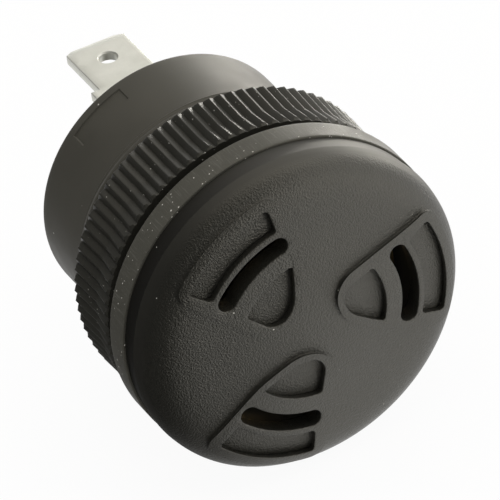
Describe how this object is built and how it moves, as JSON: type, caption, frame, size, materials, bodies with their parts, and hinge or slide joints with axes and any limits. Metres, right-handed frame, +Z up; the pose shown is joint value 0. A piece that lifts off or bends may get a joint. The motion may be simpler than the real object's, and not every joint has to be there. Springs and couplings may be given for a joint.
{
  "type": "piezo alarm",
  "caption": "Round panel-mount piezo alarm with a domed face, fan-shaped sound ports, a gasket, a serrated ring nut on a threaded stem and blade terminals at the rear.",
  "frame": {"origin": "on the alarm's axis in the plane of the panel, where the rear face of the gasket bears", "axes": "+Y along the axis towards the terminals, the sounding face looks along -Y, +Z up through the first terminal blade"},
  "size_m": [0.0264, 0.0344, 0.0264],
  "materials": {
    "cover_plastic": "fine spark-textured black ABS",
    "housing_plastic": "satin black ABS",
    "gasket_rubber": "matte black rubber",
    "nut_plastic": "semi-gloss black moulding",
    "brass": "bare brass sheet",
    "ceramic": "fired piezo ceramic, dull",
    "silver_film": "fired silver film, satin",
    "support_plastic": "black ABS",
    "silicone": "clear-white silicone",
    "board_laminate": "green solder mask on glass laminate",
    "chip_epoxy": "black moulding epoxy",
    "tinned_metal": "tin-plated",
    "ferrite": "fired ferrite, matt",
    "enamelled_copper": "enamelled copper wire",
    "can_aluminium": "bright drawn aluminium",
    "sleeve_film": "dark blue shrink film",
    "resistor_body": "black glaze",
    "capacitor_ceramic": "tan ceramic",
    "blade_tin": "matt tin plating on brass",
    "solder": "tin solder, satin",
    "red_insulation": "red wire insulation",
    "black_insulation": "black wire insulation",
    "resin": "black casting resin"
  },
  "bodies": {
    "alarm": {"front_cover": "cover_plastic", "housing": "housing_plastic", "panel_gasket": "gasket_rubber", "sounder_disc": "brass", "ceramic_disc": "ceramic", "electrode_film": "silver_film", "disc_support_ring": "support_plastic", "disc_adhesive": "silicone", "circuit_board": "board_laminate", "driver_chip": "chip_epoxy", "driver_chip_legs": "tinned_metal", "transistor": "chip_epoxy", "transistor_legs": "tinned_metal", "protection_diode": "chip_epoxy", "chip_resistors": "resistor_body", "chip_capacitors": "capacitor_ceramic", "inductor_core": "ferrite", "inductor_winding": "enamelled_copper", "filter_capacitor": "can_aluminium", "capacitor_sleeve": "sleeve_film", "positive_blade": "blade_tin", "negative_blade": "blade_tin", "board_solder": "solder", "disc_solder": "solder", "disc_lead": "black_insulation", "ceramic_lead": "red_insulation", "potting": "resin"},
    "nut": {"ring_nut": "nut_plastic"}
  },
  "joints": [
    {"name": "nut_travel", "type": "slide", "parent": "alarm", "child": "nut", "axis": [0, 1, 0], "range_m": [-0.0012, 0.005]}
  ]
}
